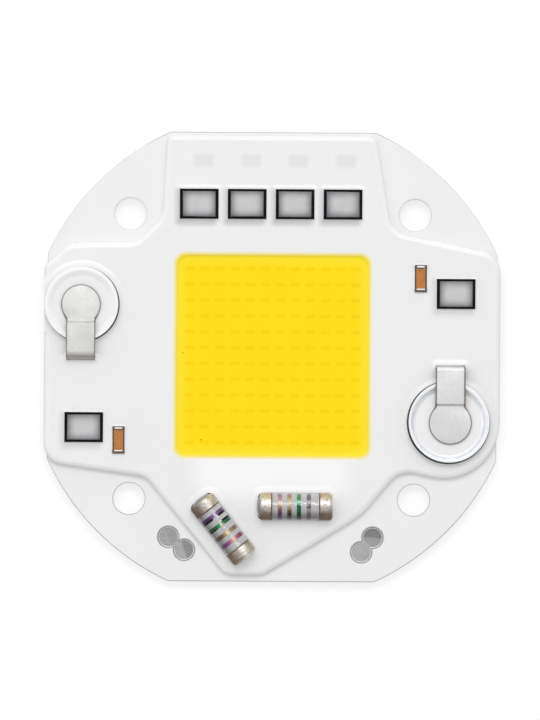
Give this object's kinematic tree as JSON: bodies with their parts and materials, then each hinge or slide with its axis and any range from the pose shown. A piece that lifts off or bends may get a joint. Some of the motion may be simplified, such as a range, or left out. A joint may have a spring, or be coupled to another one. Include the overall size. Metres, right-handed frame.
{
  "type": "chip-on-board led module",
  "caption": "Round aluminium LED module with four flats, a square yellow light field, potted driver parts around it and a wire terminal at each side.",
  "frame": {"origin": "centre of the plate's flat back face, on its screw-hole square's centre", "axes": "+Z points out of the light-emitting face, +Y towards the row of drivers, +X to the right seen from the front"},
  "size_m": [0.0608, 0.06, 0.0055],
  "materials": {
    "plate_aluminium": "plain rolled",
    "insulation": "matt",
    "copper": "rolled copper",
    "solder": "satin",
    "white_mask": "semi-gloss lacquer",
    "led_die": "polished",
    "phosphor": "soft satin silicone",
    "white_silicone": "glossy silicone",
    "milky_film": "glossy film",
    "tin_plating": "bright tin",
    "black_resin": "moulded epoxy",
    "alumina": "fired glaze",
    "brown_ceramic": "fired",
    "nickel": "satin nickel plate",
    "grey_lacquer": "glossy lacquer",
    "cap_metal": "tinned cap with a warm tint"
  },
  "bodies": {
    "root": {"base_plate": "plate_aluminium", "insulating_layer": "insulation", "copper_tracks": "copper", "solder_pads": "solder", "white_mask": "white_mask", "led_dies": "led_die", "phosphor_fill": "phosphor", "led_dam": "white_silicone", "package_films": "milky_film", "set_resistor_ends": "tin_plating", "overmould": "white_silicone", "driver_1": "black_resin", "driver_1_leads": "tin_plating", "set_resistor_1": "alumina", "driver_2": "black_resin", "driver_2_leads": "tin_plating", "set_resistor_2": "alumina", "driver_3": "black_resin", "driver_3_leads": "tin_plating", "set_resistor_3": "alumina", "driver_4": "black_resin", "driver_4_leads": "tin_plating", "set_resistor_4": "alumina", "rectifier_left": "black_resin", "rectifier_left_leads": "tin_plating", "capacitor_left": "brown_ceramic", "capacitor_left_ends": "tin_plating", "terminal_cup_left": "nickel", "cup_fill_left": "white_silicone", "contact_left": "nickel", "rectifier_right": "black_resin", "rectifier_right_leads": "tin_plating", "capacitor_right": "brown_ceramic", "capacitor_right_ends": "tin_plating", "terminal_cup_right": "nickel", "cup_fill_right": "white_silicone", "contact_right": "nickel", "melf_straight": "grey_lacquer", "melf_caps_straight": "cap_metal", "melf_slanted": "grey_lacquer", "melf_caps_slanted": "cap_metal"}
  },
  "joints": []
}
